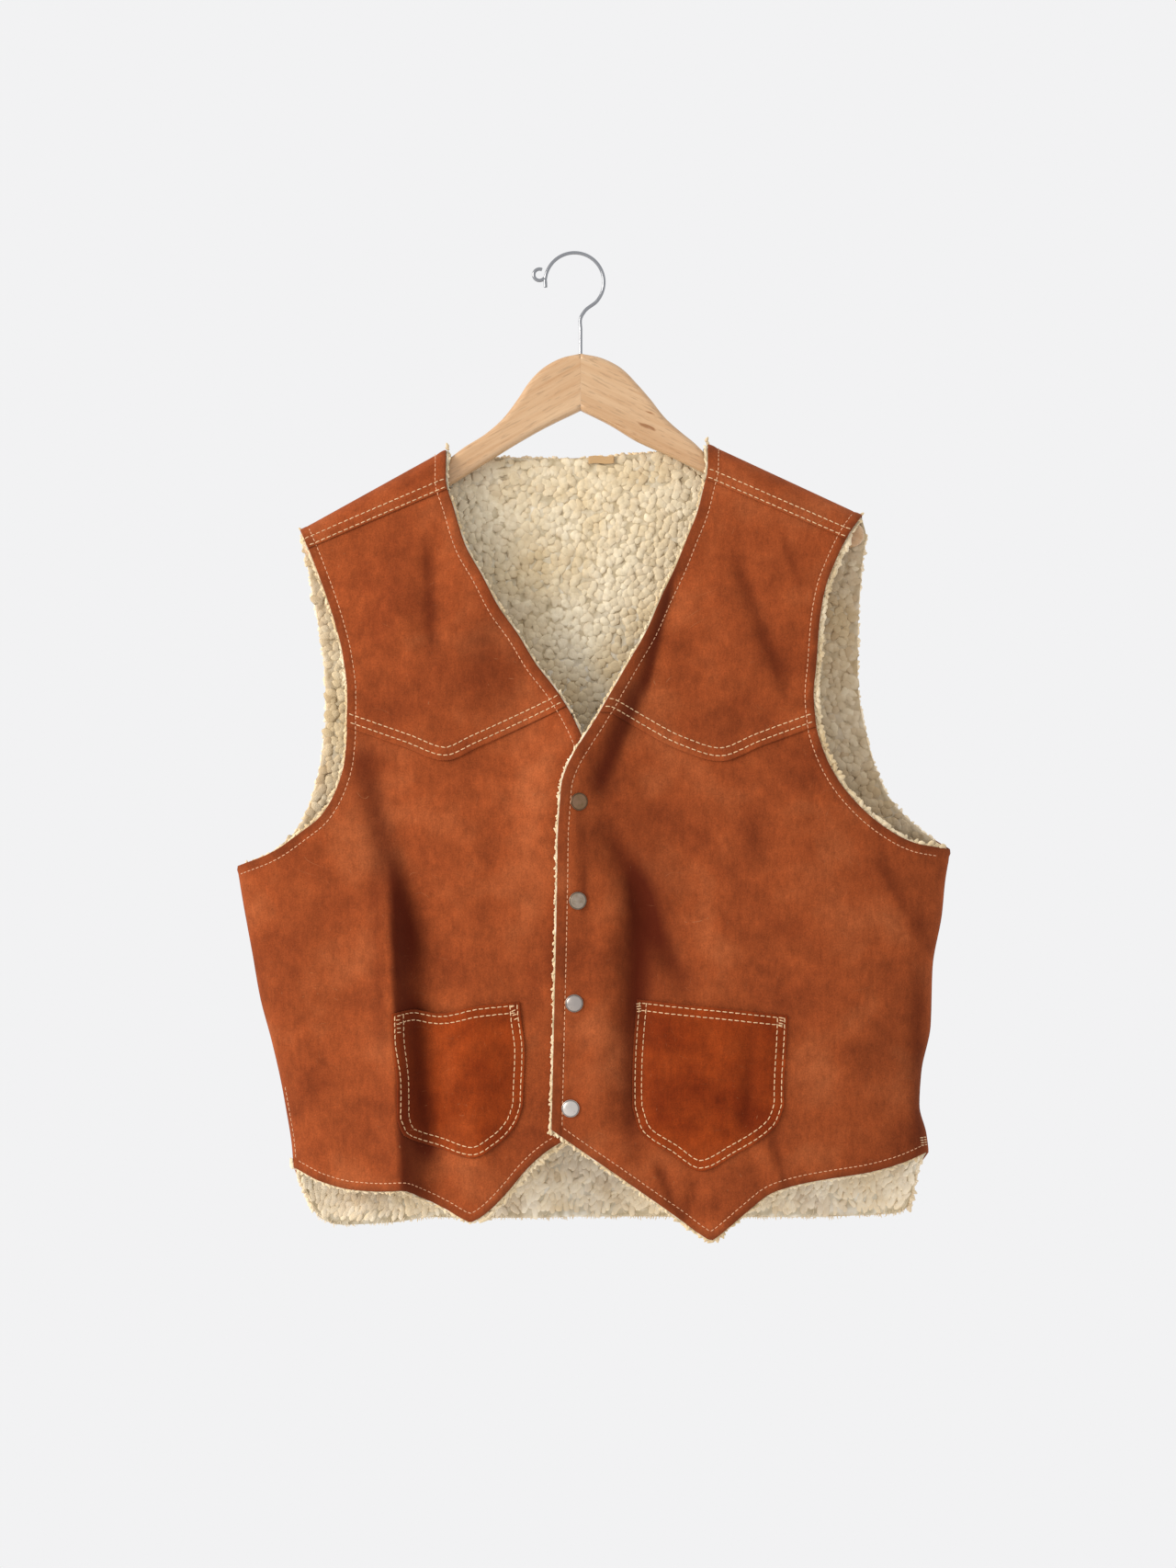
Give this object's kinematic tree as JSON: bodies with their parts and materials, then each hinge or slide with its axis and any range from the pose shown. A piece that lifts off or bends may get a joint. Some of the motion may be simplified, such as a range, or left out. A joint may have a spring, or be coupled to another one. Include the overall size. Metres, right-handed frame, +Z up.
{
  "type": "suede vest on a hanger",
  "caption": "Western suede vest with a cream pile lining, pointed yokes, hem and patch pockets, snapped shut on a two-piece wooden hanger with a wire hook.",
  "frame": {"origin": "where the hook hangs: inside the top of its bend, in the middle plane of the hanger", "axes": "+X to the right of someone who faces the vest, +Y away from them towards its back, +Z up"},
  "size_m": [0.569, 0.088, 0.7821],
  "materials": {
    "suede": "napped rust-brown suede, worn lighter in patches",
    "pocket_suede": "napped suede, darker and redder",
    "pile": "cream curly pile (sherpa)",
    "thread": "pale twisted thread",
    "tape": "tan woven tape, bare",
    "snap_metal": "worn nickel plate",
    "wood": "pale hardwood under satin varnish",
    "wire": "bright drawn steel wire"
  },
  "bodies": {
    "root": {"back": "suede", "yoke_right": "suede", "yoke_left": "suede", "front_right": "suede", "front_left": "suede", "pocket_right": "pocket_suede", "pocket_left": "pocket_suede", "lining_back": "pile", "lining_front_right": "pile", "lining_front_left": "pile", "snap_cap_1": "snap_metal", "snap_cap_2": "snap_metal", "snap_cap_3": "snap_metal", "snap_cap_4": "snap_metal", "neck_tab": "tape", "hanger_arm_right": "wood", "hanger_arm_left": "wood", "hook": "wire"}
  },
  "joints": []
}
